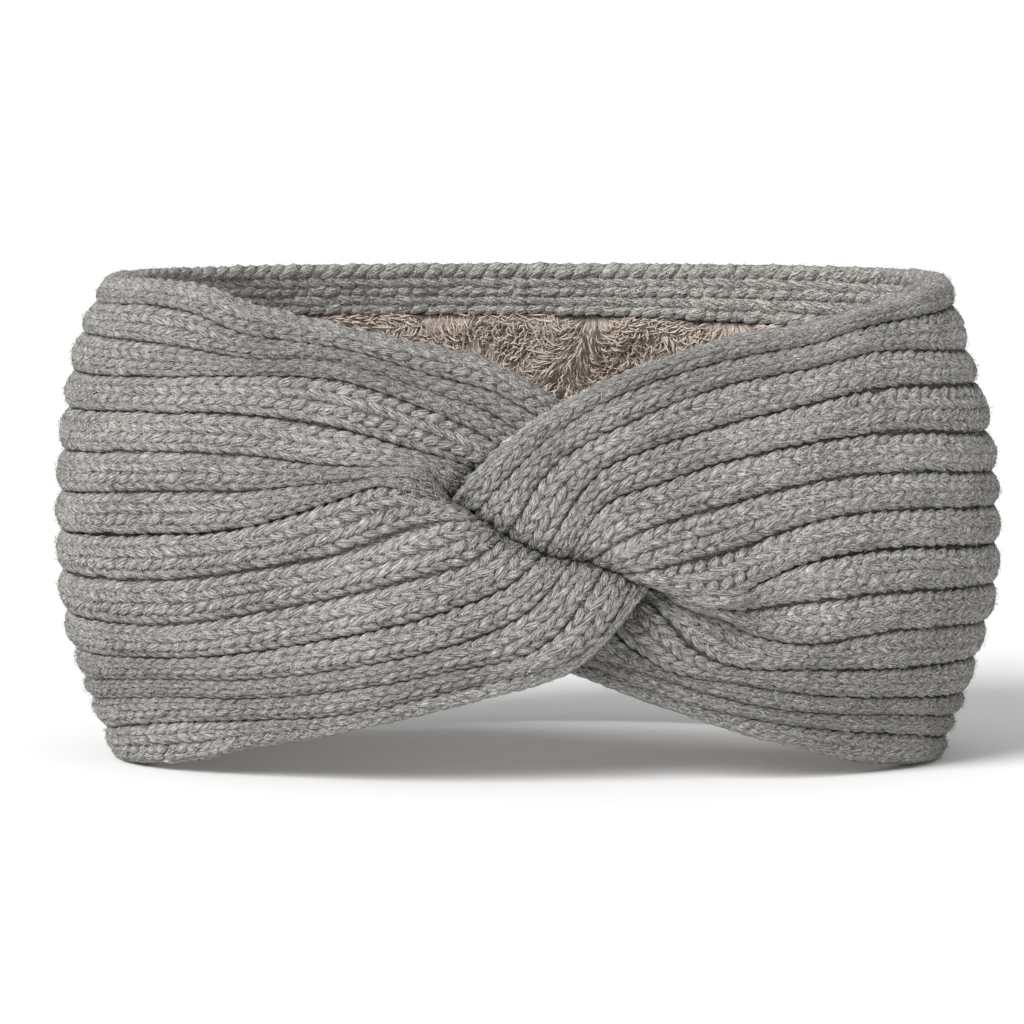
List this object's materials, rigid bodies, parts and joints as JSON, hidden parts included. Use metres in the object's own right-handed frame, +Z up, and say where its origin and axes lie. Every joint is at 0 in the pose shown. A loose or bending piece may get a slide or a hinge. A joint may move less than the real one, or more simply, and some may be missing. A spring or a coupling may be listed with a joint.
{
  "type": "ear warmer headband",
  "caption": "Rib-knit ear warmer headband with a crossed twist at the front, a folded hem at both rims and a plush lining inside.",
  "frame": {"origin": "on the surface that the lower rim rests on, under the middle of the whole band", "axes": "+Z up, +X towards the right side of the band as seen from the front, the twist at the front faces -Y"},
  "size_m": [0.2108, 0.1236, 0.1083],
  "materials": {
    "knit_yarn": "soft matt acrylic and wool yarn, slightly fuzzy, warm grey",
    "plush": "matt long-haired plush, taupe"
  },
  "bodies": {
    "root": {"knit_band": "knit_yarn", "fleece_lining": "plush"}
  },
  "joints": []
}
